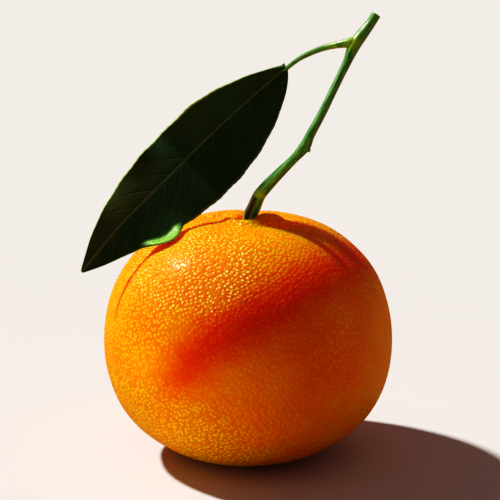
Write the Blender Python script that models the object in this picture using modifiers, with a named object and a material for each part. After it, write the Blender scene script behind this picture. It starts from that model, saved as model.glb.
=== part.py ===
"""A ripe mandarin as picked: the fruit, its calyx, a bent twig and one leaf.

Metres, +Z up. The origin is the middle of the flat spot that the fruit rests on, and the fruit's axis
is +Z. The front of the leaf faces -Y. The twig leans to +X and the leaf hangs to -X.
"""

import math

import bmesh
import bpy
from mathutils import Vector

MM = 0.001

# Driving dimensions
GAP = 0.3 * MM

FRUIT_RADIUS = 34.1 * MM
CROWN_HEIGHT = 30.6 * MM
UNDERSIDE_HEIGHT = 29.1 * MM
FOOT_CUT = 1.05 * MM
CROWN_ROUNDNESS = 2.17
UNDERSIDE_ROUNDNESS = 2.26

HOLLOW_DEPTH = 1.9 * MM
HOLLOW_RADIUS = 12.0 * MM
PIT_DEPTH = 2.0 * MM
PIT_RADIUS = 3.4 * MM
COLLAR_HEIGHT = 0.85 * MM
COLLAR_RADIUS = 4.6 * MM
COLLAR_WIDTH = 1.7 * MM
COLLAR_TILT = 0.35 * MM

CALYX_RADIUS = 2.08 * MM
CALYX_HEIGHT = 1.0 * MM
SEPALS = 5
SEPAL_REACH = 0.12

LEAF_LEFT_WIDTH = 8.3 * MM
LEAF_RIGHT_WIDTH = 12.2 * MM
LEAF_THICKNESS = 0.6 * MM
RIB_THICKNESS = 1.3 * MM
LEAF_FOOT_FOLD = math.radians(38)
LEAF_TIP_FOLD = math.radians(-8)
LEAF_FOLD_FROM = 0.3
LEAF_FOLD_TO = 0.5
LEAF_RIGHT_FOLD = math.radians(6)

WAIST_HEIGHT = UNDERSIDE_HEIGHT - FOOT_CUT
PIT_FLOOR = WAIST_HEIGHT + CROWN_HEIGHT - HOLLOW_DEPTH - PIT_DEPTH
CALYX_BOTTOM = PIT_FLOOR + GAP
TWIG_BOTTOM = CALYX_BOTTOM + CALYX_HEIGHT + GAP

# Furrows that run out from the pit: bearing in degrees from +X towards +Y, depth, length
FURROWS = [
    (-31, 1.1 * MM, 19 * MM),
    (85, 1.0 * MM, 15 * MM),
    (157, 1.0 * MM, 15 * MM),
    (235, 0.25 * MM, 11 * MM),
    (290, 0.35 * MM, 11 * MM),
]
FURROW_WIDTH = 1.1 * MM
FURROW_SPREAD = 0.13

# The swelling of the crown to the right of the twig: its middle, its reach in x and y, the height it
# rises to, and where it starts outside the calyx
LOBE_MIDDLE = (4.4 * MM, -2.3 * MM)
LOBE_REACH = (4.2 * MM, 2.5 * MM)
LOBE_TOP = 58.7 * MM
LOBE_START = 2.8 * MM
LOBE_RISE = 0.9 * MM

# Rings and steps of the meshes
FRUIT_STEPS = 72
FRUIT_SIDE_RINGS = 27
PIT_RING_STEP = 0.55 * MM
PIT_RINGS = 8
CROWN_RING_GROWTH = 1.2
LEAF_STATIONS = 44
LEAF_COLUMNS_A_SIDE = 10

# The eye that the photograph was taken from, in millimetres. A route's last value moves its point that
# far towards the eye, which keeps its place in the view. The shadows on the fruit give these values.
EYE = Vector((0.5, -485.0, 170.4))

# Twig: x, y, z, radius and shift towards the eye in millimetres, from the calyx up to the cut end
TWIG_ROUTE = [
    (0.5, 0.3, TWIG_BOTTOM / MM, 1.70, 0.0),
    (0.6, 0.3, 57.6, 1.66, 0.0),
    (1.4, 0.5, 59.5, 1.56, 1.0),
    (2.7, 0.7, 62.4, 1.46, 2.8),
    (5.1, 1.0, 65.2, 1.34, 5.1),
    (7.9, 1.2, 68.1, 1.16, 7.4),
    (10.7, 1.4, 70.9, 1.03, 9.1),
    (13.2, 1.5, 73.8, 1.33, 10.1),
    (14.5, 1.4, 76.6, 1.06, 9.8),
    (17.4, 1.2, 82.2, 0.97, 8.0),
    (20.0, 0.9, 87.8, 0.93, 5.6),
    (22.6, 0.5, 93.4, 1.00, 3.0),
    (24.4, 0.2, 97.6, 1.50, 1.2),
    (26.2, 0.0, 100.3, 1.38, 0.2),
    (28.0, -0.2, 102.8, 1.16, -0.7),
    (29.3, -0.4, 104.9, 1.10, -1.3),
]

# Where the leaf stalk leaves the twig, then the stalk itself to the foot of the blade
STUB_ROUTE = [
    (25.2, 0.1, 98.9, 0.95, 0.8),
    (23.6, 0.1, 98.3, 1.05, 1.0),
    (22.0, 0.0, 98.05, 0.92, 0.7),
    (20.6, -0.1, 97.85, 0.80, 0.1),
]
STALK_ROUTE = [
    (20.3, -0.1, 97.8, 0.80, 0.0),
    (18.0, -0.2, 97.3, 0.66, -1.5),
    (15.3, -0.3, 96.4, 0.58, -3.6),
    (12.0, -0.4, 94.8, 0.50, -6.8),
    (9.6, -0.5, 93.1, 0.45, -9.3),
    (7.6, -0.7, 91.1, 0.42, -10.8),
]

# Midrib of the leaf, on the front face of the blade, from its foot to its tip
MIDRIB_ROUTE = [
    (8.8, -1.1, 92.9, -10.5),
    (-1.2, -3.0, 84.3, -11.5),
    (-11.0, -5.0, 75.4, -10.0),
    (-20.5, -6.8, 66.3, -5.0),
    (-29.8, -8.1, 56.8, -1.0),
    (-38.4, -8.6, 46.3, 0.0),
]
VIEWED_FROM = Vector((0.0, -math.cos(math.radians(14)), math.sin(math.radians(14))))

# Outline of the blade: half-width grows as t**rise and falls as (1 - t)**fall along the midrib
LEAF_LEFT_RISE = 0.86
LEAF_RIGHT_RISE = 0.76
LEAF_FALL = 0.95
LEAF_END_WIDTH = 0.3 * MM
EDGE_NOTCHES = 9
EDGE_NOTCH_DEPTH = 0.16 * MM
EDGE_WAVES = 3.5
EDGE_WAVE_HEIGHT = 0.55 * MM

# The stretch of the right edge that bends forward, to lie along the fruit
CURL_CENTRE = 0.725
CURL_HALF_LENGTH = 0.085
CURL_STRIP = 4.0 * MM
CURL_STRETCH = 3.2 * MM
CURL_TURN = math.radians(56)


def clear_scene():
    for item in list(bpy.data.objects):
        bpy.data.objects.remove(item, do_unlink=True)


def new_collection(name):
    collection = bpy.data.collections.new(name)
    bpy.context.scene.collection.children.link(collection)
    return collection


def material(name, colour, roughness):
    finish = bpy.data.materials.new(name)
    finish.use_nodes = True
    shader = finish.node_tree.nodes["Principled BSDF"]
    shader.inputs["Base Color"].default_value = (*colour, 1.0)
    shader.inputs["Roughness"].default_value = roughness
    shader.inputs["Metallic"].default_value = 0.0
    return finish


def smooth_step(value):
    held = min(1.0, max(0.0, value))
    return held * held * (3.0 - 2.0 * held)


def curve_point(points, place):
    """Point of a Catmull-Rom curve, whose first and last points only steer it."""
    k = min(int(place), len(points) - 4)
    u = place - k
    a, b, c, d = points[k : k + 4]
    point = 2 * b + (c - a) * u + (2 * a - 5 * b + 4 * c - d) * u**2
    point += (3 * b - a - 3 * c + d) * u**3
    return point / 2


def placed(route):
    """The route's points after their shift towards the eye, each with its radius if it has one."""
    points = []
    for x, y, z, *radius, shift in route:
        place = Vector((x, y, z))
        place += (EYE - place).normalized() * shift
        points.append(Vector((*place, *radius)))
    return points


def smooth_path(route, count):
    """Evenly spaced points on a smooth curve through a route, with as many values as its points."""
    points = placed(route)
    points = [2 * points[0] - points[1], *points, 2 * points[-1] - points[-2]]
    fine = 20 * count
    trail = [curve_point(points, i / fine * (len(points) - 3)) for i in range(fine + 1)]
    lengths = [0.0]
    for before, after in zip(trail, trail[1:]):
        lengths.append(lengths[-1] + (after.xyz - before.xyz).length)
    path = []
    k = 0
    for i in range(count):
        wanted = lengths[-1] * i / (count - 1)
        while k < fine - 1 and lengths[k + 1] < wanted:
            k += 1
        share = (wanted - lengths[k]) / (lengths[k + 1] - lengths[k])
        path.append(trail[k].lerp(trail[k + 1], share))
    return path


def evaluated_mesh(item):
    """The object's mesh after its modifiers, with its loose caps and poles welded."""
    depsgraph = bpy.context.evaluated_depsgraph_get()
    mesh = bpy.data.meshes.new_from_object(item.evaluated_get(depsgraph))
    work = bmesh.new()
    work.from_mesh(mesh)
    bmesh.ops.remove_doubles(work, verts=work.verts, dist=0.002 * MM)
    work.to_mesh(mesh)
    work.free()
    return mesh


def baked(item, name, collection):
    """Replaces an object by a plain mesh object of its evaluated shape."""
    mesh = evaluated_mesh(item)
    bpy.data.objects.remove(item, do_unlink=True)
    mesh.name = name
    result = bpy.data.objects.new(name, mesh)
    collection.objects.link(result)
    return result


def turned(name, profile, steps, collection):
    """A closed profile of (radius, height) pairs, from the top axis down to the bottom axis, turned."""
    work = bmesh.new()
    corners = [work.verts.new((radius, 0.0, height)) for radius, height in profile]
    for upper, lower in zip(corners, corners[1:]):
        work.edges.new((upper, lower))
    mesh = bpy.data.meshes.new(name)
    work.to_mesh(mesh)
    work.free()
    item = bpy.data.objects.new(name, mesh)
    collection.objects.link(item)
    screw = item.modifiers.new("Turn", "SCREW")
    screw.steps = steps
    screw.render_steps = steps
    screw.use_merge_vertices = True
    screw.merge_threshold = 0.002 * MM
    return baked(item, name, collection)


def tube(name, route, count, collection):
    """A round tube through a route of (x, y, z, radius) in millimetres, with filled caps."""
    curve = bpy.data.curves.new(name, "CURVE")
    curve.dimensions = "3D"
    curve.bevel_depth = MM
    curve.bevel_resolution = 4
    curve.use_fill_caps = True
    spline = curve.splines.new("POLY")
    spline.points.add(count - 1)
    for point, place in zip(spline.points, smooth_path(route, count)):
        point.co = (*(place.xyz * MM), 1.0)
        point.radius = place.w
    item = bpy.data.objects.new(name, curve)
    collection.objects.link(item)
    return baked(item, name, collection)


def join(item, other, collection):
    """Boolean union of two mesh objects, which keeps the first one's name."""
    union = item.modifiers.new("Join", "BOOLEAN")
    union.operation = "UNION"
    union.solver = "EXACT"
    union.object = other
    name = item.name
    result = baked(item, name, collection)
    bpy.data.objects.remove(other, do_unlink=True)
    return result


def finish(item, name, look):
    """Shades a piece smooth, gives it its material and its node's name."""
    item.name = name
    item.data.name = name
    item.data.materials.clear()
    item.data.materials.append(look)
    item.data.shade_smooth()
    item.data.set_sharp_from_angle(angle=math.radians(50))
    return item


def furrow_depth(radius, bearing):
    """How far the furrows lower the crown at a distance from the axis and a bearing."""
    total = 0.0
    for degrees, depth, length in FURROWS:
        turn = bearing - math.radians(degrees)
        along = radius * math.cos(turn)
        aside = radius * math.sin(turn)
        if along > 0:
            width = FURROW_WIDTH + FURROW_SPREAD * along
            fade = smooth_step(along / COLLAR_RADIUS) * math.exp(-((along / length) ** 4))
            total += depth * fade * math.exp(-((aside / width) ** 2))
    return total


def lobe_share(place):
    """How much of the way the right lobe lifts the crown to its own top. It starts outside the calyx."""
    start = smooth_step((place.length - LOBE_START) / LOBE_RISE)
    away = ((place.x - LOBE_MIDDLE[0]) / LOBE_REACH[0]) ** 2
    away += ((place.y - LOBE_MIDDLE[1]) / LOBE_REACH[1]) ** 2
    return start * math.exp(-(away**2))


def collar_tilt(radius, bearing):
    """How much higher the collar stands in front than the turned profile, and lower behind."""
    ridge = math.exp(-(((radius - COLLAR_RADIUS) / COLLAR_WIDTH) ** 2))
    return -COLLAR_TILT * math.sin(bearing) * ridge


def crown_height(radius):
    """Height of the turned crown above the waist: a flat dome with a hollow, a collar and a pit."""
    dome = CROWN_HEIGHT * (1 - (radius / FRUIT_RADIUS) ** CROWN_ROUNDNESS) ** (1 / CROWN_ROUNDNESS)
    hollow = HOLLOW_DEPTH * math.exp(-((radius / HOLLOW_RADIUS) ** 2))
    pit = PIT_DEPTH * math.exp(-((radius / PIT_RADIUS) ** 4))
    collar = COLLAR_HEIGHT * math.exp(-(((radius - COLLAR_RADIUS) / COLLAR_WIDTH) ** 2))
    return dome - hollow - pit + collar


def side_point(angle, height, roundness):
    """Point of a superellipse at an angle above or below the waist."""
    radius = FRUIT_RADIUS * math.cos(angle) ** (2 / roundness)
    rise = height * abs(math.sin(angle)) ** (2 / roundness)
    return radius, math.copysign(rise, angle)


def fruit_profile():
    """The fruit's half section: pit and crown, then the sides, then the flat spot."""
    radii = [PIT_RING_STEP * ring for ring in range(PIT_RINGS + 1)]
    step = PIT_RING_STEP
    while radii[-1] < FRUIT_RADIUS / 2:
        step *= CROWN_RING_GROWTH
        radii.append(radii[-1] + step)
    profile = [(radius, WAIST_HEIGHT + crown_height(radius)) for radius in radii]

    top_angle = math.acos((radii[-1] / FRUIT_RADIUS) ** (CROWN_ROUNDNESS / 2))
    foot_share = (UNDERSIDE_HEIGHT - FOOT_CUT) / UNDERSIDE_HEIGHT
    foot_angle = -math.asin(foot_share ** (UNDERSIDE_ROUNDNESS / 2))
    for ring in range(1, FRUIT_SIDE_RINGS + 1):
        angle = top_angle + (foot_angle - top_angle) * ring / FRUIT_SIDE_RINGS
        if angle > 0:
            radius = side_point(angle, CROWN_HEIGHT, CROWN_ROUNDNESS)[0]
            height = crown_height(radius)
        else:
            radius, height = side_point(angle, UNDERSIDE_HEIGHT, UNDERSIDE_ROUNDNESS)
        profile.append((radius, WAIST_HEIGHT + height))
    profile[-1] = (profile[-1][0], 0.0)
    profile.append((0.0, 0.0))
    return profile


def make_fruit(collection):
    fruit = turned("fruit", fruit_profile(), FRUIT_STEPS, collection)
    for vertex in fruit.data.vertices:
        radius = vertex.co.xy.length
        if vertex.co.z > WAIST_HEIGHT and radius > 0:
            bearing = math.atan2(vertex.co.y, vertex.co.x)
            vertex.co.z += collar_tilt(radius, bearing) - furrow_depth(radius, bearing)
            vertex.co.z += lobe_share(vertex.co.xy) * (LOBE_TOP - vertex.co.z)
    return finish(fruit, "fruit", material("peel", (0.86, 0.28, 0.015), 0.38))


def make_calyx(collection):
    """A low button whose rim is drawn out into sepals."""
    rim = CALYX_BOTTOM + 0.45 * CALYX_HEIGHT
    top = CALYX_BOTTOM + CALYX_HEIGHT
    profile = [
        (0.0, top),
        (0.70 * CALYX_RADIUS, top),
        (0.90 * CALYX_RADIUS, rim + 0.30 * CALYX_HEIGHT),
        (CALYX_RADIUS, rim),
        (0.85 * CALYX_RADIUS, CALYX_BOTTOM + 0.10 * CALYX_HEIGHT),
        (0.45 * CALYX_RADIUS, CALYX_BOTTOM),
        (0.0, CALYX_BOTTOM),
    ]
    calyx = turned("calyx", profile, 8 * SEPALS, collection)
    for vertex in calyx.data.vertices:
        share = vertex.co.xy.length / CALYX_RADIUS
        bearing = math.atan2(vertex.co.y, vertex.co.x)
        reach = 1 + SEPAL_REACH * share * math.cos(SEPALS * bearing)
        vertex.co.xy *= reach
    return finish(calyx, "calyx", material("calyx_skin", (0.10, 0.17, 0.04), 0.6))


def make_twig(collection):
    twig = tube("twig", TWIG_ROUTE, 58, collection)
    stub = tube("stub", STUB_ROUTE, 8, collection)
    twig = join(twig, stub, collection)
    return finish(twig, "twig", material("green_bark", (0.07, 0.22, 0.07), 0.5))


def curl_share(t, side):
    """How strongly the edge is curled at a place along the right side: 0 nowhere near, 1 at most."""
    if side > 0:
        return 0.0
    away = (t - CURL_CENTRE) / CURL_HALF_LENGTH
    return max(0.0, 1 - away**2) ** 2


def fold_at(t, side):
    """How far a half of the blade is folded forward. The left half stands forward near its foot."""
    if side < 0:
        return LEAF_RIGHT_FOLD
    near_tip = smooth_step((t - LEAF_FOLD_FROM) / (LEAF_FOLD_TO - LEAF_FOLD_FROM))
    return LEAF_FOOT_FOLD + (LEAF_TIP_FOLD - LEAF_FOOT_FOLD) * near_tip


def half_width(t, side):
    """Width of one side of the blade along its surface; side is 1 for the left, -1 for the right."""
    widest = LEAF_LEFT_WIDTH / math.cos(fold_at(t, side)) if side > 0 else LEAF_RIGHT_WIDTH
    rise = LEAF_LEFT_RISE if side > 0 else LEAF_RIGHT_RISE
    peak = rise / (rise + LEAF_FALL)
    tallest = peak**rise * (1 - peak) ** LEAF_FALL
    swell = t**rise * (1 - t) ** LEAF_FALL / tallest
    notch = EDGE_NOTCH_DEPTH * math.sin(2 * math.pi * EDGE_NOTCHES * t + side) * swell
    return LEAF_END_WIDTH + widest * swell + notch + CURL_STRETCH * curl_share(t, side)


def curl_strip(t, side):
    """Width of the strip that bends forward: widest amid the curl, narrow towards its ends."""
    return CURL_STRIP * (0.2 + 0.8 * math.sqrt(curl_share(t, side)))


def blade_offset(t, side, share):
    """Offset from the midrib, aside and towards the front, at a share of the half-width."""
    width = half_width(t, side)
    fold = fold_at(t, side)
    curl = CURL_TURN * math.sqrt(curl_share(t, side))
    strip = curl_strip(t, side)
    steps = 24
    aside = 0.0
    front = 0.0
    for i in range(steps):
        travelled = width * share * (i + 0.5) / steps
        into_strip = (travelled - width + strip) / strip
        angle = fold * (0.75 + 0.5 * travelled / width) + curl * smooth_step(3 * into_strip)
        aside += math.cos(angle) * width * share / steps
        front += math.sin(angle) * width * share / steps
    wave = math.sin(2 * math.pi * EDGE_WAVES * t + 1.3 * side)
    front += EDGE_WAVE_HEIGHT * wave * share**3 * math.sin(math.pi * t)
    return aside * side, front


def make_blade(collection):
    """The blade: an open grid laid over the midrib, cut in triangles, then given its thickness."""
    work = bmesh.new()
    stations = LEAF_STATIONS
    columns = 2 * LEAF_COLUMNS_A_SIDE
    bmesh.ops.create_grid(work, x_segments=stations, y_segments=columns, size=1.0)
    midrib = smooth_path(MIDRIB_ROUTE, stations + 1)
    thickness = work.verts.layers.deform.verify()
    for vertex in work.verts:
        station = round((vertex.co.x + 1) / 2 * stations)
        t = station / stations
        even = abs(vertex.co.y)
        side = math.copysign(1, -vertex.co.y)
        share = even - 0.75 * math.sin(2 * math.pi * even) / (2 * math.pi)

        ahead = midrib[min(station + 1, stations)]
        behind = midrib[max(station - 1, 0)]
        along = (ahead - behind).normalized()
        leftwards = along.cross(VIEWED_FROM).normalized()
        frontwards = leftwards.cross(along)
        aside, front = blade_offset(t, side, share)
        vertex.co = midrib[station] * MM + leftwards * aside + frontwards * front

        from_rib = half_width(t, side) * share
        rib = (1 - 0.6 * t) * math.exp(-((from_rib / (0.6 * MM)) ** 2))
        spare = RIB_THICKNESS - LEAF_THICKNESS
        vertex[thickness][0] = (LEAF_THICKNESS + spare * rib) / RIB_THICKNESS
    bmesh.ops.triangulate(work, faces=work.faces)
    mesh = bpy.data.meshes.new("blade")
    work.to_mesh(mesh)
    work.free()
    blade = bpy.data.objects.new("blade", mesh)
    collection.objects.link(blade)
    blade.vertex_groups.new(name="thickness")
    body = blade.modifiers.new("Body", "SOLIDIFY")
    body.thickness = RIB_THICKNESS
    body.offset = -1.0
    body.vertex_group = "thickness"
    return baked(blade, "blade", collection)


def make_leaf(collection):
    blade = make_blade(collection)
    stalk = tube("stalk", STALK_ROUTE, 16, collection)
    leaf = join(blade, stalk, collection)
    return finish(leaf, "leaf", material("leaf_skin", (0.02, 0.06, 0.015), 0.42))


def main():
    clear_scene()
    collection = new_collection("mandarin")
    make_fruit(collection)
    make_calyx(collection)
    make_twig(collection)
    make_leaf(collection)


main()
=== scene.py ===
# %% [markdown]
# # A mandarin on its twig
#
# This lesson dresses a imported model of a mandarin: a squat fruit in shiny pitted peel, the small green
# calyx on its crown, a bent twig, and one long leaf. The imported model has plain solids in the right
# places. We read it first, and every finer piece is then built round the same axis and the same points,
# so nothing has to be fitted afterwards.

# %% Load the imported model
import math
import random

import bmesh
import bpy
import numpy as np
from mathutils import Matrix, Vector, noise
from mathutils.kdtree import KDTree


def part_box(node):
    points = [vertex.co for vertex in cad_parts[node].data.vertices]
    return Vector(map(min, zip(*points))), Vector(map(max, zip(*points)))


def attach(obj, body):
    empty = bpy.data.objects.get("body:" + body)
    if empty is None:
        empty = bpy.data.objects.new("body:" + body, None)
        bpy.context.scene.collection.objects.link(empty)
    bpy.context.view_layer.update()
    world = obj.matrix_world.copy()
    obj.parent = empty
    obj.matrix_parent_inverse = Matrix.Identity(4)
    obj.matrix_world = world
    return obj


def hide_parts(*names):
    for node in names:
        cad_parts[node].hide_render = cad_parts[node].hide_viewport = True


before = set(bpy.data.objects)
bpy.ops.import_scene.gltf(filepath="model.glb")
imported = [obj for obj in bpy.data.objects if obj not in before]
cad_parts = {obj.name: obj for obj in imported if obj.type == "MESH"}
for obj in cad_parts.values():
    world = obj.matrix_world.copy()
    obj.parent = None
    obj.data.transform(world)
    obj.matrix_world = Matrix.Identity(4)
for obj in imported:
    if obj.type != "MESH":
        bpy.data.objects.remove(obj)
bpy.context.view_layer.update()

MM = 0.001
scene = bpy.context.scene

# %% [markdown]
# ## The camera
#
# A camera can be placed by eye, by a tracked target or by numbers. Numbers are chosen here because the
# view is a simple one: it looks along +Y, a little down, from half a metre away. The lens is worked out
# from how wide the picture has to be at the fruit, which keeps the mild perspective of a long lens.

# %% Place the camera
VIEW_ELEVATION = math.radians(14)
VIEW_DISTANCE = 500 * MM
VIEW_WIDTH = 117.25 * MM
VIEW_TARGET = Vector((0.47, 0.0, 49.4)) * MM
SENSOR_WIDTH = 36.0

TO_CAMERA = Vector((0.0, -math.cos(VIEW_ELEVATION), math.sin(VIEW_ELEVATION)))

camera_data = bpy.data.cameras.new("camera")
camera_data.sensor_width = SENSOR_WIDTH
camera_data.lens = SENSOR_WIDTH * VIEW_DISTANCE / VIEW_WIDTH
camera = bpy.data.objects.new("camera", camera_data)
camera.location = VIEW_TARGET + TO_CAMERA * VIEW_DISTANCE
camera.rotation_euler = (math.pi / 2 - VIEW_ELEVATION, 0.0, 0.0)
scene.collection.objects.link(camera)
scene.camera = camera
print("lens", round(camera_data.lens, 1), "mm")

# %% [markdown]
# ## Small helpers
#
# A piece is made in bmesh, then written to one object that sits at the origin, rides on the only body
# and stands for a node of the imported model. Twig and leaf follow routes of a few points. A point's last
# value moves it towards the camera's eye: it keeps its place in the view, and its shadow tells how far it
# stands forward. Materials are made of nodes, and a few short helpers keep those recipes readable: each
# makes one node and takes numbers, colours or other nodes' sockets.

# %% Helpers for pieces
def smooth_step(value):
    held = min(1.0, max(0.0, value))
    return held * held * (3.0 - 2.0 * held)


def curve_point(points, place):
    """Point of a Catmull-Rom curve, whose first and last points only steer it."""
    k = min(int(place), len(points) - 4)
    u = place - k
    a, b, c, d = points[k : k + 4]
    point = 2 * b + (c - a) * u + (2 * a - 5 * b + 4 * c - d) * u**2
    point += (3 * b - a - 3 * c + d) * u**3
    return point / 2


def placed(route):
    """A route's points after their shift towards the eye, in millimetres, each with its radius if any."""
    eye = camera.location / MM
    points = []
    for x, y, z, *radius, shift in route:
        place = Vector((x, y, z))
        place += (eye - place).normalized() * shift
        points.append(Vector((*place, *radius)))
    return points


def smooth_path(route, count):
    """Evenly spaced points on a smooth curve through a route given in millimetres."""
    points = [point * MM for point in placed(route)]
    points = [2 * points[0] - points[1], *points, 2 * points[-1] - points[-2]]
    fine = 12 * count
    trail = [curve_point(points, i / fine * (len(points) - 3)) for i in range(fine + 1)]
    lengths = [0.0]
    for before, after in zip(trail, trail[1:]):
        lengths.append(lengths[-1] + (after.xyz - before.xyz).length)
    path = []
    k = 0
    for i in range(count):
        wanted = lengths[-1] * i / (count - 1)
        while k < fine - 1 and lengths[k + 1] < wanted:
            k += 1
        share = (wanted - lengths[k]) / (lengths[k + 1] - lengths[k])
        path.append(trail[k].lerp(trail[k + 1], share))
    return path


def new_object(name, work):
    """Writes a bmesh to a new smooth-shaded object at the origin."""
    mesh = bpy.data.meshes.new(name)
    work.to_mesh(mesh)
    work.free()
    mesh.shade_smooth()
    made = bpy.data.objects.new(name, mesh)
    scene.collection.objects.link(made)
    return made


def applied(item):
    """Turns the object's live modifiers into its mesh."""
    bpy.context.view_layer.update()
    depsgraph = bpy.context.evaluated_depsgraph_get()
    mesh = bpy.data.meshes.new_from_object(item.evaluated_get(depsgraph))
    item.modifiers.clear()
    item.data = mesh
    mesh.shade_smooth()
    return item


def finish_piece(piece, node, slot, *materials):
    """The piece rides on the body, stands for a node, and gets its materials."""
    for material in materials:
        piece.data.materials.append(material)
    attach(piece, "root")
    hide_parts(node)
    print(piece.name, len(piece.data.polygons), "faces")


# %% Helpers for materials
def add_node(tree, kind, inputs=None, **settings):
    """A node of that kind; inputs are keyed by socket and hold numbers, colours or other sockets."""
    made = tree.nodes.new("ShaderNode" + kind)
    for name, value in settings.items():
        setattr(made, name, value)
    for name, value in (inputs or {}).items():
        if isinstance(value, bpy.types.NodeSocket):
            tree.links.new(value, made.inputs[name])
        else:
            made.inputs[name].default_value = value
    return made


def maths(tree, operation, first, second=0.0):
    return add_node(tree, "Math", {0: first, 1: second}, operation=operation).outputs[0]


def times(tree, first, second):
    return maths(tree, "MULTIPLY", first, second)


def vector_maths(tree, operation, first, second=(0.0, 0.0, 0.0)):
    made = add_node(tree, "VectorMath", {0: first, 1: second}, operation=operation)
    return made.outputs["Value" if operation in ("LENGTH", "DISTANCE", "DOT_PRODUCT") else "Vector"]


def ramp(tree, value, start, end, low=0.0, high=1.0):
    """A soft step from low to high as value goes from start to end."""
    spread = {"Value": value, "From Min": start, "From Max": end, "To Min": low, "To Max": high}
    return add_node(tree, "MapRange", spread, interpolation_type="SMOOTHSTEP").outputs["Result"]


def mixed(tree, share, first, second):
    """A colour between two, by a share from 0 to 1."""
    return add_node(tree, "Mix", {0: share, 6: first, 7: second}, data_type="RGBA").outputs[2]


def attribute(tree, name, output="Fac"):
    return add_node(tree, "Attribute", attribute_name=name).outputs[output]


def object_coordinates(tree):
    return add_node(tree, "TexCoord").outputs["Object"]


def colour(red, green, blue):
    return (red, green, blue, 1.0)


def add_bump(tree, shader, strength, *heights):
    """Adds up heights in metres and dents the shader's surface by them."""
    total = heights[0]
    for height in heights[1:]:
        total = maths(tree, "ADD", total, height)
    bump = add_node(tree, "Bump", {"Strength": strength, "Distance": 1.0, "Height": total})
    tree.links.new(bump.outputs["Normal"], shader.inputs["Normal"])
    return bump.outputs["Normal"]


def new_material(name, **constants):
    """A material with its Principled shader, whose constants are set by socket name."""
    material = bpy.data.materials.new(name)
    material.use_nodes = True
    shader = material.node_tree.nodes["Principled BSDF"]
    for socket, value in constants.items():
        shader.inputs[socket.replace("_", " ")].default_value = value
    return material, material.node_tree, shader


# %% [markdown]
# ## A shared grain
#
# Peel, bark and leaf are never one even colour, and all of them have a fine waxy grain. A node group
# holds that effect once, and each material places it with its own sizes. The other way would be to copy
# the same noise nodes into every material, which soon drifts apart.

# %% Build the grain group
def build_grain_group():
    group = bpy.data.node_groups.new("grain", "ShaderNodeTree")
    group.interface.new_socket("Vector", in_out="INPUT", socket_type="NodeSocketVector")
    for name in ("Patch Scale", "Grain Scale"):
        group.interface.new_socket(name, in_out="INPUT", socket_type="NodeSocketFloat")
    for name in ("Patch", "Grain"):
        group.interface.new_socket(name, in_out="OUTPUT", socket_type="NodeSocketFloat")
    entry = group.nodes.new("NodeGroupInput").outputs
    leave = group.nodes.new("NodeGroupOutput")
    patch_inputs = {"Vector": entry["Vector"], "Scale": entry["Patch Scale"], "Detail": 3.0}
    patch = add_node(group, "TexNoise", patch_inputs)
    grain_inputs = {"Vector": entry["Vector"], "Scale": entry["Grain Scale"], "Detail": 4.0}
    grain = add_node(group, "TexNoise", grain_inputs)
    group.links.new(ramp(group, patch.outputs["Fac"], 0.35, 0.65), leave.inputs["Patch"])
    group.links.new(grain.outputs["Fac"], leave.inputs["Grain"])
    return group


GRAIN = build_grain_group()


def add_grain(tree, vector, patch_scale, grain_scale):
    made = tree.nodes.new("ShaderNodeGroup")
    made.node_tree = GRAIN
    tree.links.new(vector, made.inputs["Vector"])
    made.inputs["Patch Scale"].default_value = patch_scale
    made.inputs["Grain Scale"].default_value = grain_scale
    return made.outputs["Patch"], made.outputs["Grain"]


print("grain group", len(GRAIN.nodes), "nodes")

# %% [markdown]
# ## The form of the fruit
#
# A mandarin is wider than tall, squarer than an egg, nearly flat on the crown and flat underneath. Its
# half section is a superellipse. A sphere with poles would crowd its faces at the stem, so we start
# from a cube cut into small squares and blow it up: the squares stay alike all over. One formula moves
# every point onto the fruit, with the hollow, the pit, the collar of flesh and the furrows round it.

# %% Sizes of the fruit
FRUIT_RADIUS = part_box("fruit")[1].x
CROWN_HEIGHT = 30.6 * MM
UNDERSIDE_HEIGHT = 29.1 * MM
WAIST_HEIGHT = 28.05 * MM
CROWN_ROUNDNESS = 2.17
UNDERSIDE_ROUNDNESS = 2.26
FOOT_SOFTNESS = 0.3 * MM

HOLLOW_DEPTH = 1.9 * MM
HOLLOW_RADIUS = 12.0 * MM
PIT_DEPTH = 2.0 * MM
PIT_RADIUS = 3.4 * MM
COLLAR_HEIGHT = 0.85 * MM
COLLAR_RADIUS = 4.6 * MM
COLLAR_WIDTH = 1.7 * MM
COLLAR_TILT = 0.35 * MM

# Furrows that run out from the pit: bearing in degrees from +X towards +Y, depth, length
FURROWS = [
    (-31, 1.1 * MM, 19 * MM),
    (85, 1.0 * MM, 15 * MM),
    (157, 1.0 * MM, 15 * MM),
    (235, 0.25 * MM, 11 * MM),
    (290, 0.35 * MM, 11 * MM),
]
FURROW_WIDTH = 1.1 * MM
FURROW_SPREAD = 0.13

# The swelling of the crown to the right of the twig: its middle, its reach in x and y, the height it
# rises to, and where it starts outside the calyx
LOBE_MIDDLE = (4.4 * MM, -2.3 * MM)
LOBE_REACH = (4.2 * MM, 2.5 * MM)
LOBE_TOP = 58.7 * MM
LOBE_START = 2.8 * MM
LOBE_RISE = 0.9 * MM

SCAR_RADIUS = 2.3 * MM
SCAR_DEPTH = 0.45 * MM

print("fruit", round(2 * FRUIT_RADIUS / MM, 1), "mm across")


# %% Formula of the fruit
def furrow_depth(radius, bearing):
    """How far the furrows lower the crown, for arrays of distances from the axis and bearings."""
    total = np.zeros_like(radius)
    for degrees, depth, length in FURROWS:
        turn = bearing - math.radians(degrees)
        along = radius * np.cos(turn)
        aside = radius * np.sin(turn)
        width = FURROW_WIDTH + FURROW_SPREAD * np.abs(along)
        rise = np.clip(along / COLLAR_RADIUS, 0, 1)
        rise = rise * rise * (3 - 2 * rise)
        total += depth * rise * np.exp(-((along / length) ** 4) - (aside / width) ** 2)
    return total


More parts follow.
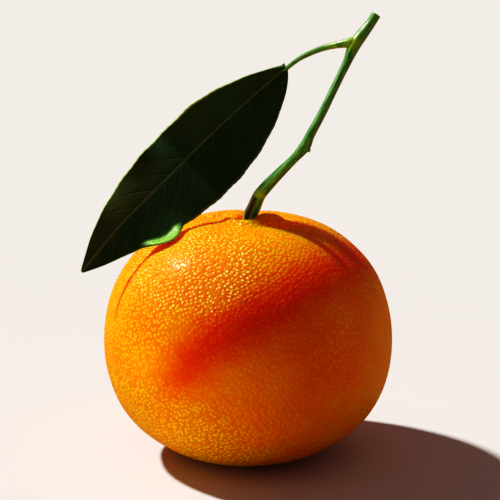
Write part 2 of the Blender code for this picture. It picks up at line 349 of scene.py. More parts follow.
def lobe_share(radius, bearing):
    """How much of the way the right lobe lifts the crown to its own top. It starts outside the calyx."""
    start = np.clip((radius - LOBE_START) / LOBE_RISE, 0, 1)
    start = start * start * (3 - 2 * start)
    x = (radius * np.cos(bearing) - LOBE_MIDDLE[0]) / LOBE_REACH[0]
    y = (radius * np.sin(bearing) - LOBE_MIDDLE[1]) / LOBE_REACH[1]
    return start * np.exp(-((x**2 + y**2) ** 2))


def fruit_points(directions):
    """Points of the fruit's skin, without pores, for an array of unit vectors."""
    height = directions[:, 2]
    flat = np.sqrt(np.maximum(1 - height**2, 0))
    bearing = np.arctan2(directions[:, 1], directions[:, 0])
    upper = height > 0
    roundness = np.where(upper, CROWN_ROUNDNESS, UNDERSIDE_ROUNDNESS)
    tallest = np.where(upper, CROWN_HEIGHT, -UNDERSIDE_HEIGHT)
    radius = FRUIT_RADIUS * flat ** (2 / roundness)
    rise = tallest * np.abs(height) ** (2 / roundness)
    hollow = HOLLOW_DEPTH * np.exp(-((radius / HOLLOW_RADIUS) ** 2))
    pit = PIT_DEPTH * np.exp(-((radius / PIT_RADIUS) ** 4))
    ridge = np.exp(-(((radius - COLLAR_RADIUS) / COLLAR_WIDTH) ** 2))
    collar = (COLLAR_HEIGHT - COLLAR_TILT * np.sin(bearing)) * ridge
    crown = collar - hollow - pit - furrow_depth(radius, bearing)
    z = WAIST_HEIGHT + rise + np.where(upper, crown, 0)
    z += np.where(upper, lobe_share(radius, bearing), 0) * (LOBE_TOP - z)
    z = 0.5 * (z + np.sqrt(z**2 + FOOT_SOFTNESS**2))
    scar = SCAR_DEPTH * np.exp(-((radius / SCAR_RADIUS) ** 2))
    z += np.where(upper, 0, scar)
    return np.stack([radius * np.cos(bearing), radius * np.sin(bearing), z], axis=1)


def outward(points):
    """Unit vectors that point out of the fruit, near enough for pushing its skin in and out."""
    normals = points - np.array([0, 0, WAIST_HEIGHT])
    normals[:, 2] *= (FRUIT_RADIUS / CROWN_HEIGHT) ** 2
    return normals / np.linalg.norm(normals, axis=1)[:, None]


pit_floor = fruit_points(np.array([[0.0, 0.0, 1.0]]))[0, 2]
print("pit floor", round(pit_floor / MM, 1), "mm up")

# %% [markdown]
# ## The pores
#
# The peel is full of oil glands, each a shallow pit 1 mm wide with a bead in it. They could be only a
# texture, but then the outline and the mesh would be smooth. So the pits are real dents, spread
# by a golden spiral with a little random shift, which gives an even but never regular spacing. A mesh of
# this size is still coarse beside a gland, so each face also keeps the middle of its nearest gland, and
# the material draws the exact round gland from that.

# %% Spread the pores
PORE_COUNT = 13000
PORE_SHIFT = 0.22
PORE_RADIUS = 0.50 * MM
PORE_DEPTH = 0.09 * MM
PORE_SIZE_RANGE = (0.78, 1.15)
SMALL_PORE_SHARE = 0.12
SMALL_PORE_SIZE = 0.55

draw = random.Random(11)


def spread_pores():
    """Middles and sizes of the pores."""
    golden_turn = math.pi * (3 - math.sqrt(5))
    spacing = math.sqrt(4 * math.pi / PORE_COUNT)
    directions = []
    sizes = []
    for i in range(PORE_COUNT):
        height = 1 - 2 * (i + 0.5) / PORE_COUNT
        flat = math.sqrt(1 - height**2)
        turn = golden_turn * i
        middle = Vector((flat * math.cos(turn), flat * math.sin(turn), height))
        shift = Vector([draw.gauss(0, PORE_SHIFT * spacing) for _ in range(3)])
        directions.append((middle + shift).normalized())
        small = draw.random() < SMALL_PORE_SHARE
        sizes.append(SMALL_PORE_SIZE if small else draw.uniform(*PORE_SIZE_RANGE))
    return fruit_points(np.array([list(way) for way in directions])), np.array(sizes)


PORE_MIDDLES, PORE_SIZES = spread_pores()
PORE_TREE = KDTree(PORE_COUNT)
for index, middle in enumerate(PORE_MIDDLES):
    PORE_TREE.insert(middle, index)
PORE_TREE.balance()
print("pores", PORE_COUNT)


# %% Make the fruit
FRUIT_CUTS = 127
LUMP_HEIGHT = 0.16 * MM
LUMP_SIZE = 10.0 * MM
LUMP_MIDDLE = 0.4
FOOT_HEIGHT = 4 * MM


def nearest_pores(points):
    """Index of the nearest pore of each point, and the distance to it."""
    found = [PORE_TREE.find(point) for point in points]
    return np.array([hit[1] for hit in found]), np.array([hit[2] for hit in found])


def even_cube(points):
    """Moves the points of a cube's sides so that they are evenly spread once blown up to a sphere."""
    spread = np.tan(points * (math.pi / 4))
    return spread / np.linalg.norm(spread, axis=1)[:, None]


def make_fruit():
    work = bmesh.new()
    bmesh.ops.create_cube(work, size=2.0)
    bmesh.ops.subdivide_edges(work, edges=work.edges, cuts=FRUIT_CUTS, use_grid_fill=True)
    fruit = new_object("fruit_in_peel", work)
    mesh = fruit.data
    flat_points = np.empty(3 * len(mesh.vertices), dtype=np.float32)
    mesh.vertices.foreach_get("co", flat_points)
    points = fruit_points(even_cube(flat_points.reshape(-1, 3).astype(float)))
    normals = outward(points)

    lumps = np.array([noise.noise(Vector(point) / LUMP_SIZE) for point in points])
    above_foot = np.clip(points[:, 2] / FOOT_HEIGHT, 0, 1)
    pore, away = nearest_pores(points)
    size = PORE_SIZES[pore]
    dent = PORE_DEPTH * size * np.exp(-((away / (PORE_RADIUS * size)) ** 2))
    push = LUMP_HEIGHT * (lumps - LUMP_MIDDLE) * above_foot - dent
    points += normals * push[:, None]
    points[:, 2] = np.maximum(points[:, 2], 0)
    mesh.vertices.foreach_set("co", points.astype(np.float32).ravel())

    middles = np.empty(3 * len(mesh.polygons), dtype=np.float32)
    mesh.update()
    mesh.polygons.foreach_get("center", middles)
    pore, away = nearest_pores(middles.reshape(-1, 3).astype(float))
    layer = mesh.attributes.new("pore_middle", "FLOAT_VECTOR", "FACE")
    layer.data.foreach_set("vector", PORE_MIDDLES[pore].astype(np.float32).ravel())
    layer = mesh.attributes.new("pore_size", "FLOAT", "FACE")
    layer.data.foreach_set("value", PORE_SIZES[pore].astype(np.float32))
    return fruit


fruit = make_fruit()

# %% [markdown]
# ## The peel's finish
#
# Ripe peel is a deep orange wax over soft white pith. Light goes a short way in and comes out redder,
# which is subsurface scattering, and the wax throws small sharp glints from the wall of every pit, which
# is the coat. The oil glands show as yellow beads, painted stronger where the sun falls as a painted
# highlight, and at the lower left as painted glints over darker gaps. A red band of painted shade crosses
# the front where light turns to shade, and a few healed scars break the colour.
# One image could carry all this, but masks worked out from the place on the peel stay sharp close up.

# %% Make the peel
PEEL = colour(0.86, 0.25, 0.002)
PEEL_YELLOW = colour(0.90, 0.35, 0.003)
# The red of the band of painted shade where light turns to shade
PAINTED_SHADE_RED = colour(0.86, 0.055, 0.001)
PEEL_RED = colour(0.88, 0.20, 0.002)
# The yellow of the oil glands' beads, also used for the painted highlight and painted glints
BEAD_HIGHLIGHT_AND_GLINT_COLOUR = colour(1.0, 0.64, 0.012)
# Darker gaps painted between the painted glints at the lower left
PAINTED_GLINT_GAP_COLOUR = colour(0.56, 0.21, 0.004)
SCAR_COLOUR = colour(0.44, 0.36, 0.10)
NAVEL_COLOUR = colour(0.20, 0.12, 0.04)

# A gland's bead, from its full colour to the bare peel, in pore radii; how deep it dents the wax; and
# how far its colour covers the peel, from shade to sun, where it is painted stronger as a painted
# highlight
BEAD_EDGE = (0.25, 1.1)
BEAD_DEPTH = 0.13 * MM
BEAD_SHARE = (0.30, 0.90)
NAVEL_EDGE = (0.9 * MM, 1.9 * MM)

# Healed scars on the peel: where, in millimetres, and how wide
SCARS = [
    ((-0.9, -29.4, 44.8), 0.6),
    ((20.0, 24.0, 40.0), 0.9),
    ((-26.0, 18.0, 20.0), 0.6),
]

# Painted shade: a red band painted on the front, across the way the sun comes from, halfway between
# light and shade
SUN_WAY = Vector((-0.57, 0.31, 0.765)).normalized()
PAINTED_SHADE_MIDDLE = 0.6 * MM
PAINTED_SHADE_REACH = 9.5 * MM
PAINTED_SHADE_DRIFT = 7 * MM
PAINTED_SHADE_STRENGTH = 0.85
PAINTED_SHADE_BACK = (4 * MM, 20 * MM)
PAINTED_SHADE_LEFT = (-12 * MM, -25 * MM)

# Painted highlight and painted glints: the glands' beads are painted stronger on the side the sun falls
# on, less so at the back, and on a stretch at the lower left as painted glints over darker gaps
PAINTED_SUN_REACH = (0.0, 12 * MM)
PAINTED_SUN_BACK = (-22 * MM, 6 * MM)
PAINTED_SUN_BACK_SHARE = 0.45
# Painted glints: where the beads and their darker gaps are painted, at the lower left
PAINTED_GLINT_WAY = Vector((-0.52, -0.46, -0.72)).normalized()
PAINTED_GLINT_REACH = (20 * MM, 30 * MM)


def reach_towards(tree, here, way):
    """How far a place on the peel lies from the fruit's middle along a direction."""
    from_waist = vector_maths(tree, "SUBTRACT", here, (0.0, 0.0, WAIST_HEIGHT))
    return vector_maths(tree, "DOT_PRODUCT", from_waist, way)


def painted_shade_share(tree, here):
    """How strongly the red band of painted shade covers the peel, where light turns to shade."""
    height = reach_towards(tree, here, SUN_WAY)
    drift = add_node(tree, "TexNoise", {"Vector": here, "Scale": 140.0, "Detail": 3.0}).outputs["Fac"]
    drift = maths(tree, "SUBTRACT", drift, 0.5)
    height = maths(tree, "ADD", height, times(tree, drift, PAINTED_SHADE_DRIFT))
    away = maths(tree, "ABSOLUTE", maths(tree, "SUBTRACT", height, PAINTED_SHADE_MIDDLE))
    band = ramp(tree, away, 0.05 * PAINTED_SHADE_REACH, PAINTED_SHADE_REACH, PAINTED_SHADE_STRENGTH, 0.0)
    sides = add_node(tree, "SeparateXYZ", {0: here}).outputs
    front = ramp(tree, sides[1], *PAINTED_SHADE_BACK, 1.0, 0.0)
    left = ramp(tree, sides[0], PAINTED_SHADE_LEFT[1], PAINTED_SHADE_LEFT[0])
    return times(tree, band, times(tree, front, left))


def make_peel():
    material, tree, shader = new_material(
        "peel",
        Subsurface_Weight=0.9,
        Subsurface_Scale=0.011,
        Specular_IOR_Level=0.08,
        Specular_Tint=colour(1.0, 0.72, 0.22),
        Coat_Roughness=0.17,
        Coat_IOR=1.45,
        Subsurface_Radius=(1.0, 0.02, 0.01),
    )
    here = object_coordinates(tree)
    patch, grain = add_grain(tree, here, 55.0, 2600.0)
    blotch, speckle = add_grain(tree, here, 160.0, 700.0)

    away = vector_maths(tree, "DISTANCE", here, attribute(tree, "pore_middle", "Vector"))
    reach = times(tree, attribute(tree, "pore_size"), PORE_RADIUS)
    away = maths(tree, "DIVIDE", away, reach)
    pit = ramp(tree, away, *BEAD_EDGE, 1.0, 0.0)

    base = mixed(tree, patch, PEEL, PEEL_YELLOW)
    base = mixed(tree, times(tree, blotch, 0.35), base, PEEL_RED)
    # Painted highlight: the beads are painted stronger on the side the sun falls on, less at the back
    painted_sun = ramp(tree, reach_towards(tree, here, SUN_WAY), *PAINTED_SUN_REACH)
    depth = add_node(tree, "SeparateXYZ", {0: here}).outputs[1]
    painted_sun = times(tree, painted_sun, ramp(tree, depth, *PAINTED_SUN_BACK, 1.0, PAINTED_SUN_BACK_SHARE))
    # Painted glints at the lower left: stronger beads over darker gaps
    painted_glints = ramp(tree, reach_towards(tree, here, PAINTED_GLINT_WAY), *PAINTED_GLINT_REACH)
    base = mixed(tree, times(tree, painted_glints, 0.7), base, PAINTED_GLINT_GAP_COLOUR)
    # The beads' colour share, raised by the painted highlight and the painted glints
    bead_highlight_and_glint_share = ramp(tree, maths(tree, "MAXIMUM", painted_sun, painted_glints), 0.0, 1.0, *BEAD_SHARE)
    base = mixed(tree, times(tree, pit, bead_highlight_and_glint_share), base, BEAD_HIGHLIGHT_AND_GLINT_COLOUR)
    # Painted shade: a red band where light turns to shade
    base = mixed(tree, painted_shade_share(tree, here), base, PAINTED_SHADE_RED)
    for place_mm, width_mm in SCARS:
        offset = vector_maths(tree, "DISTANCE", here, Vector(place_mm) * MM)
        scar = ramp(tree, offset, 0.3 * width_mm * MM, width_mm * MM, 0.8, 0.0)
        base = mixed(tree, scar, base, SCAR_COLOUR)
    navel = vector_maths(tree, "LENGTH", here)
    navel = ramp(tree, navel, *NAVEL_EDGE, 0.85, 0.0)
    base = mixed(tree, navel, base, NAVEL_COLOUR)
    tree.links.new(base, shader.inputs["Base Color"])

    rough = ramp(tree, speckle, 0.3, 0.7, 0.30, 0.44)
    tree.links.new(rough, shader.inputs["Roughness"])
    coat = ramp(tree, pit, 0.2, 0.9, 0.04, 0.75)
    tree.links.new(coat, shader.inputs["Coat Weight"])

    fine = times(tree, grain, 0.012 * MM)
    rougher = times(tree, speckle, 0.05 * MM)
    normal = add_bump(tree, shader, 1.0, times(tree, pit, -BEAD_DEPTH), fine, rougher)
    tree.links.new(normal, shader.inputs["Coat Normal"])
    return material


finish_piece(fruit, "fruit", "peel", make_peel())

# %% [markdown]
# ## The blade of the leaf
#
# The leaf is a thin skin whose left half stands forward near the stalk and lies flat towards the tip.
# Its edge is finely toothed and waved, with the last millimetre rolled back. Where the blade comes down
# to the fruit, a stretch of its right edge bends forward and lies along the peel, in full sun. It could
# be cut from a plane and sculpted, but a grid laid over the midrib by a formula keeps control of it all.
# Thickness comes from Solidify, read from a vertex group, so midrib and side veins stand out behind.

# %% Sizes of the leaf
LEAF_LEFT_WIDTH = 8.3 * MM
LEAF_RIGHT_WIDTH = 12.2 * MM
LEAF_THICKNESS = 0.42 * MM
RIB_THICKNESS = 1.25 * MM
LEAF_FOOT_FOLD = math.radians(38)
LEAF_TIP_FOLD = math.radians(-8)
LEAF_FOLD_FROM = 0.3
LEAF_FOLD_TO = 0.5
LEAF_RIGHT_FOLD = math.radians(6)
LEAF_LEFT_RISE = 0.86
LEAF_RIGHT_RISE = 0.76
LEAF_FALL = 0.95
LEAF_END_WIDTH = 0.3 * MM
EDGE_NOTCHES = 9
EDGE_NOTCH_DEPTH = 0.10 * MM
EDGE_TEETH = 37
EDGE_TOOTH_DEPTH = 0.035 * MM
EDGE_WAVES = 3.5
EDGE_WAVE_HEIGHT = 0.55 * MM

CURL_CENTRE = 0.725
CURL_HALF_LENGTH = 0.085
CURL_STRIP = 4.0 * MM
CURL_STRETCH = 3.2 * MM
CURL_TURN = math.radians(56)

# The rolled back border that catches the light
LIP_FROM = 0.91
LIP_TURN = math.radians(52)

SIDE_VEINS = 12
VEIN_SLANT = 0.85
VEIN_BEND = 9.0
VEIN_LEFT_SHIFT = 0.45
VEIN_HALF_WIDTH = 0.20 * MM
VEIN_SINK = 0.10 * MM

RIB_GROOVE = 0.16 * MM
EDGE_THINNING = 0.12 * MM
VEIN_THICKNESS = 0.15 * MM

LEAF_STATIONS = 260
LEAF_COLUMNS_A_SIDE = 44

# Midrib on the front face of the blade, from its foot to its tip, in millimetres
MIDRIB_ROUTE = [
    (8.8, -1.1, 92.9, -10.5),
    (-1.2, -3.0, 84.3, -11.5),
    (-11.0, -5.0, 75.4, -10.0),
    (-20.5, -6.8, 66.3, -5.0),
    (-29.8, -8.1, 56.8, -1.0),
    (-38.4, -8.6, 46.3, 0.0),
]
MIDRIB = smooth_path(MIDRIB_ROUTE, LEAF_STATIONS + 1)
LEAF_LENGTH = sum((b - a).length for a, b in zip(MIDRIB, MIDRIB[1:]))
print("blade", round(LEAF_LENGTH / MM, 1), "mm long")


# %% Formula of the leaf
def curl_share(t, side):
    """How strongly the edge is curled at a place along the right side: 0 nowhere near, 1 at most."""
    if side > 0:
        return 0.0
    away = (t - CURL_CENTRE) / CURL_HALF_LENGTH
    return max(0.0, 1 - away**2) ** 2


def fold_at(t, side):
    """How far a half of the blade is folded forward. The left half stands forward near its foot."""
    if side < 0:
        return LEAF_RIGHT_FOLD
    near_tip = smooth_step((t - LEAF_FOLD_FROM) / (LEAF_FOLD_TO - LEAF_FOLD_FROM))
    return LEAF_FOOT_FOLD + (LEAF_TIP_FOLD - LEAF_FOOT_FOLD) * near_tip


def half_width(t, side):
    """Width of one side of the blade along its surface; side is 1 for the left, -1 for the right."""
    widest = LEAF_LEFT_WIDTH / math.cos(fold_at(t, side)) if side > 0 else LEAF_RIGHT_WIDTH
    rise = LEAF_LEFT_RISE if side > 0 else LEAF_RIGHT_RISE
    peak = rise / (rise + LEAF_FALL)
    tallest = peak**rise * (1 - peak) ** LEAF_FALL
    swell = t**rise * (1 - t) ** LEAF_FALL / tallest
    notch = EDGE_NOTCH_DEPTH * math.sin(2 * math.pi * EDGE_NOTCHES * t + side)
    tooth = EDGE_TOOTH_DEPTH * math.sin(2 * math.pi * EDGE_TEETH * t + 2 * math.sin(17 * t))
    edge = (notch + tooth) * swell
    return LEAF_END_WIDTH + widest * swell + edge + CURL_STRETCH * curl_share(t, side)


def curl_strip(t, side):
    """Width of the strip that bends forward: widest amid the curl, narrow towards its ends."""
    return CURL_STRIP * (0.2 + 0.8 * math.sqrt(curl_share(t, side)))


def blade_offset(t, side, share):
    """Offset from the midrib, aside and towards the front, at a share of the half-width."""
    width = half_width(t, side)
    fold = fold_at(t, side)
    curl = CURL_TURN * math.sqrt(curl_share(t, side))
    strip = curl_strip(t, side)
    steps = 24
    aside = 0.0
    front = 0.0
    for i in range(steps):
        travelled = width * share * (i + 0.5) / steps
        into_strip = (travelled - width + strip) / strip
        angle = fold * (0.75 + 0.5 * travelled / width) + curl * smooth_step(3 * into_strip)
        angle -= (LIP_TURN + fold) * smooth_step((travelled / width - LIP_FROM) / (1 - LIP_FROM))
        aside += math.cos(angle) * width * share / steps
        front += math.sin(angle) * width * share / steps
    wave = math.sin(2 * math.pi * EDGE_WAVES * t + 1.3 * side)
    front += EDGE_WAVE_HEIGHT * wave * share**3 * math.sin(math.pi * t)
    return aside * side, front


def vein_line(t, across, side):
    """Which side vein a point lies by: whole numbers are on a vein, halves are between two."""
    start = t - VEIN_SLANT * across / LEAF_LENGTH - VEIN_BEND * (across / LEAF_LENGTH) ** 2
    return start * SIDE_VEINS + (VEIN_LEFT_SHIFT if side > 0 else 0.0)


def vein_share(t, across, side):
    """1 on a side vein, falling to 0 beside it."""
    line = vein_line(t, across, side)
    away = abs(line - round(line)) / SIDE_VEINS * LEAF_LENGTH
    fade = smooth_step(across / MM) * (1 - smooth_step(across / half_width(t, side) * 1.15 - 0.1))
    return fade * math.exp(-((away / VEIN_HALF_WIDTH) ** 2))


print("blade", round((half_width(0.45, 1) + half_width(0.45, -1)) / MM, 1), "mm wide")

# %% Make the blade
def make_blade():
    work = bmesh.new()
    columns = 2 * LEAF_COLUMNS_A_SIDE
    bmesh.ops.create_grid(work, x_segments=LEAF_STATIONS, y_segments=columns, size=1.0)
    thickness = work.verts.layers.deform.verify()
    along_layer = work.verts.layers.float.new("along")
    across_layer = work.verts.layers.float.new("across")
    edge_layer = work.verts.layers.float.new("edge")
    curl_layer = work.verts.layers.float.new("curl")
    for vertex in work.verts:
        station = round((vertex.co.x + 1) / 2 * LEAF_STATIONS)
        t = station / LEAF_STATIONS
        even = abs(vertex.co.y)
        side = math.copysign(1, -vertex.co.y)
        share = even - 0.6 * math.sin(2 * math.pi * even) / (2 * math.pi)

        ahead = MIDRIB[min(station + 1, LEAF_STATIONS)]
        behind = MIDRIB[max(station - 1, 0)]
        forwards = (ahead - behind).normalized()
        leftwards = forwards.cross(TO_CAMERA).normalized()
        frontwards = leftwards.cross(forwards)
        aside, front = blade_offset(t, side, share)
        across = half_width(t, side) * share
        vein = vein_share(t, across, side)
        groove = RIB_GROOVE * math.exp(-((across / (0.35 * MM)) ** 2)) * (1 - t)
        front -= VEIN_SINK * vein + groove
        vertex.co = MIDRIB[station] + leftwards * aside + frontwards * front

        rib = (1 - 0.6 * t) * math.exp(-((across / (0.6 * MM)) ** 2))
        spare = RIB_THICKNESS - LEAF_THICKNESS
        thinning = EDGE_THINNING * smooth_step((share - 0.85) / 0.15)
        depth = LEAF_THICKNESS - thinning + spare * rib + VEIN_THICKNESS * vein * (1 - rib)
        vertex[thickness][0] = depth / RIB_THICKNESS
        vertex[along_layer] = t * LEAF_LENGTH / MM
        vertex[across_layer] = side * across / MM
        vertex[edge_layer] = share
        # The curl attribute marks the bent stretch that the skins paint bright green as painted sunlight
        into_strip = 1 - half_width(t, side) * (1 - share) / curl_strip(t, side)
        vertex[curl_layer] = smooth_step(2 * curl_share(t, side)) * smooth_step(3 * into_strip)
    bmesh.ops.triangulate(work, faces=work.faces)
    blade = new_object("leaf_blade", work)
    blade.vertex_groups.new(name="thickness")
    body = blade.modifiers.new("Body", "SOLIDIFY")
    body.thickness = RIB_THICKNESS
    body.offset = -1.0
    body.vertex_group = "thickness"
    body.material_offset = 1
    body.material_offset_rim = 2
    return blade


blade = make_blade()
print("blade", len(blade.data.vertices), "vertices")

# %% [markdown]
# ## The leaf's finish
#
# The front of a citrus leaf is dark, waxy green with fine pale veins, browner towards the tip; the back
# is paler and duller; the thin rim is almost translucent. A pale border is painted brighter on the left
# half as a painted rim light, and the bent stretch is painted bright green as painted sunlight. One
# recipe with three sets of colours is used, so the veins run through all three. The veins are drawn from
# the same slant and bend that dented the mesh.

# %% Make the leaf skin
# Painted sunlight on the bent stretch of the blade, and on its veins
PAINTED_SUN_CURL_GREEN = colour(0.12, 0.44, 0.02)
PAINTED_SUN_CURL_VEIN = colour(0.32, 0.66, 0.08)
LEAF_DARK = colour(0.010, 0.025, 0.008)

# The pale border, painted brighter on the left half as a painted rim light: where it starts and is full,
# as shares of the half width, and how far it keeps its strength on the right half, away from the sun
PALE_EDGE_AND_RIM_LIGHT_GREEN = colour(0.55, 0.75, 0.35)
BORDER_EDGE = (0.925, 0.965)
RIM_LIGHT_RIGHT_SHARE = 0.15

# The browner stretch of the left half, in millimetres from the foot of the blade
BROWN_STRETCH = (25.0, 50.0)


def vein_mask(tree):
    """Soft lines on the side veins and the midrib, from the blade's own measures in millimetres."""
    along = attribute(tree, "along")
    across = attribute(tree, "across")
    distance = maths(tree, "ABSOLUTE", across)
    length_mm = LEAF_LENGTH / MM
    bend = times(tree, maths(tree, "POWER", distance, 2.0), VEIN_BEND / length_mm)
    slant = times(tree, distance, VEIN_SLANT)
    start = maths(tree, "SUBTRACT", along, maths(tree, "ADD", slant, bend))
    line = times(tree, start, SIDE_VEINS / length_mm)
    left = times(tree, maths(tree, "GREATER_THAN", across, 0.0), VEIN_LEFT_SHIFT)
    line = maths(tree, "ADD", line, left)
    away = maths(tree, "PINGPONG", line, 0.5)
    away = times(tree, away, length_mm / SIDE_VEINS)
    veins = ramp(tree, away, 0.05, 0.32, 1.0, 0.0)
    fade = ramp(tree, attribute(tree, "edge"), 0.55, 0.95, 1.0, 0.0)
    midrib = ramp(tree, distance, 0.10, 0.36, 1.0, 0.0)
    return times(tree, veins, fade), midrib


def make_leaf_skin(name, left, right, lower, vein, rib, roughness):
    material, tree, shader = new_material(
        name,
        Subsurface_Weight=0.08,
        Subsurface_Scale=0.001,
        Specular_IOR_Level=0.25,
        Coat_Weight=0.06,
        Coat_Roughness=0.35,
        Subsurface_Radius=(0.5, 1.0, 0.2),
    )
    here = object_coordinates(tree)
    patch, grain = add_grain(tree, here, 90.0, 2400.0)
    blotch, speckle = add_grain(tree, here, 320.0, 1100.0)
    veins, midrib = vein_mask(tree)
    cells = add_node(tree, "TexVoronoi", {"Vector": here, "Scale": 1100.0}, feature="DISTANCE_TO_EDGE")
    net = ramp(tree, cells.outputs["Distance"], 0.02, 0.14, 1.0, 0.0)

    side = ramp(tree, attribute(tree, "across"), -2.5, 2.5)
    base = mixed(tree, side, right, left)
    brown = times(tree, side, ramp(tree, attribute(tree, "along"), *BROWN_STRETCH, 0.0, 0.7))
    base = mixed(tree, brown, base, lower)
    darker = mixed(tree, 0.5, base, LEAF_DARK)
    base = mixed(tree, times(tree, patch, 0.5), base, darker)
    base = mixed(tree, times(tree, blotch, 0.25), base, darker)
    base = mixed(tree, times(tree, net, 0.10), base, vein)
    base = mixed(tree, times(tree, veins, 0.35), base, vein)
    base = mixed(tree, times(tree, midrib, 0.8), base, rib)
    # Painted sunlight: the bent stretch is painted bright green on front, back and rim alike
    painted_sun_curl = mixed(tree, maths(tree, "MAXIMUM", veins, net), PAINTED_SUN_CURL_GREEN, PAINTED_SUN_CURL_VEIN)
    base = mixed(tree, attribute(tree, "curl"), base, painted_sun_curl)
    # Painted rim light: the pale border is painted full on the sunlit left half and weaker on the right
    pale_edge_and_rim_light = ramp(tree, attribute(tree, "edge"), *BORDER_EDGE, 0.0, 0.8)
    kept = maths(tree, "ADD", times(tree, side, 1 - RIM_LIGHT_RIGHT_SHARE), RIM_LIGHT_RIGHT_SHARE)
    pale_edge_and_rim_light = times(tree, pale_edge_and_rim_light, kept)
    base = mixed(tree, pale_edge_and_rim_light, base, PALE_EDGE_AND_RIM_LIGHT_GREEN)
    tree.links.new(base, shader.inputs["Base Color"])

    rough = ramp(tree, speckle, 0.3, 0.7, roughness - 0.06, roughness + 0.08)
    tree.links.new(rough, shader.inputs["Roughness"])

    fine = times(tree, grain, 0.020 * MM)
    rougher = times(tree, speckle, 0.03 * MM)
    add_bump(tree, shader, 0.8, fine, times(tree, net, -0.012 * MM), rougher)
    return material


leaf_front = make_leaf_skin(
    "leaf_front",
    left=colour(0.024, 0.130, 0.050),
    right=colour(0.025, 0.110, 0.036),
    lower=colour(0.088, 0.098, 0.020),
    vein=colour(0.13, 0.19, 0.05),
    rib=colour(0.17, 0.29, 0.10),
    roughness=0.52,
)
leaf_back = make_leaf_skin(
    "leaf_back",
    left=colour(0.12, 0.20, 0.055),
    right=colour(0.11, 0.20, 0.055),
    lower=colour(0.13, 0.20, 0.055),
    vein=colour(0.20, 0.30, 0.09),
    rib=colour(0.30, 0.38, 0.13),
    roughness=0.55,
)
# The rim is painted brighter on the sunlit left half, a painted rim light
leaf_rim = make_leaf_skin(
    "leaf_rim",
    left=colour(0.34, 0.46, 0.20),
    right=colour(0.20, 0.32, 0.10),
    lower=colour(0.30, 0.40, 0.16),
    vein=colour(0.30, 0.42, 0.16),
    rib=colour(0.30, 0.42, 0.16),
    roughness=0.4,
)
finish_piece(blade, "leaf", "leaf_skin", leaf_front, leaf_back, leaf_rim)

# %% [markdown]
# ## The twig
#
# A tube along a path can be a bevelled curve, but then its girth and its ridges are hard to shape. Here
# rings of vertices are made one by one along the path, each turned to its direction, and bridged. The
# fork must flow like grown wood, so the twig and its side stub are melted together by a fine voxel
# remesh and a light smoothing.

# %% Sweep rings along a path
def ring_frames(path):
    """Place, direction and a steady sideways direction at each point of a path."""
    sideways = Vector((0.0, 1.0, 0.0))
    frames = []
    for i, point in enumerate(path):
        ahead = path[min(i + 1, len(path) - 1)].xyz
        behind = path[max(i - 1, 0)].xyz
        direction = (ahead - behind).normalized()
        sideways = (sideways - direction * sideways.dot(direction)).normalized()
        frames.append((point.xyz, direction, sideways.copy()))
    return frames


def sweep(work, path, sides, ridge):
    """A closed tube whose rings follow a path of (x, y, z, radius)."""
    previous = None
    for (middle, direction, sideways), point in zip(ring_frames(path), path):
        third = direction.cross(sideways)
        turn = Matrix((sideways, third, direction)).transposed().to_4x4()
        turn.translation = middle
        ring = bmesh.ops.create_circle(work, segments=sides, radius=1.0)["verts"]
        for vertex in ring:
            bearing = math.atan2(vertex.co.y, vertex.co.x)
            ridges = ridge * math.cos(5 * bearing) + 0.5 * ridge * math.sin(3 * bearing)
            vertex.co *= point.w * (1 + ridges)
        bmesh.ops.transform(work, matrix=turn, verts=ring)
        edges = list({edge for vertex in ring for edge in vertex.link_edges})
        if previous:
            bmesh.ops.bridge_loops(work, edges=previous + edges)
        else:
            bmesh.ops.contextual_create(work, geom=edges)
        previous = edges
    bmesh.ops.contextual_create(work, geom=previous)
    bmesh.ops.recalc_face_normals(work, faces=work.faces)


# %% Make the twig
TWIG_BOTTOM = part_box("twig")[0].z / MM

# Middle line, radius and shift to the eye in millimetres, from the calyx up to the cut end
TWIG_ROUTE = [
    (0.5, 0.3, TWIG_BOTTOM - 0.2, 1.75, 0.0),
    (0.6, 0.3, 57.6, 1.70, 0.0),
    (1.4, 0.5, 59.5, 1.60, 1.0),
    (2.7, 0.7, 62.4, 1.48, 2.8),
    (5.1, 1.0, 65.2, 1.36, 5.1),
    (7.9, 1.2, 68.1, 1.18, 7.4),
    (10.7, 1.4, 70.9, 1.05, 9.1),
    (13.2, 1.5, 73.8, 1.30, 10.1),
    (14.5, 1.4, 76.6, 1.08, 9.8),
    (17.4, 1.2, 82.2, 0.98, 8.0),
    (20.0, 0.9, 87.8, 0.94, 5.6),
    (22.6, 0.5, 93.4, 1.02, 3.0),
    (24.4, 0.2, 97.6, 1.42, 1.2),
    (26.2, 0.0, 100.3, 1.36, 0.2),
    (28.0, -0.2, 102.8, 1.16, -0.7),
    (29.3, -0.4, 104.9, 1.12, -1.3),
]
STUB_ROUTE = [
    (25.4, 0.1, 99.1, 0.95, 0.8),
    (23.6, 0.1, 98.4, 1.12, 1.0),
    (22.0, 0.0, 98.1, 0.98, 0.7),
    (20.4, -0.1, 97.82, 0.80, 0.1),
]
KNOB = [(13.9, 1.0, 73.2, 0.75, 10.1), (14.4, 0.8, 73.3, 0.55, 10.1)]
TWIG_PATH = smooth_path(TWIG_ROUTE, 260)
TWIG_RIDGE = 0.030
TWIG_VOXEL = 0.15 * MM


def remeshed(item, voxel, repeats):
    """Melts a piece's overlapping tubes into one skin."""
    melt = item.modifiers.new("Melt", "REMESH")
    melt.mode = "VOXEL"
    melt.voxel_size = voxel
    soften = item.modifiers.new("Soften", "SMOOTH")
    soften.factor = 0.5
    soften.iterations = repeats
    return applied(item)


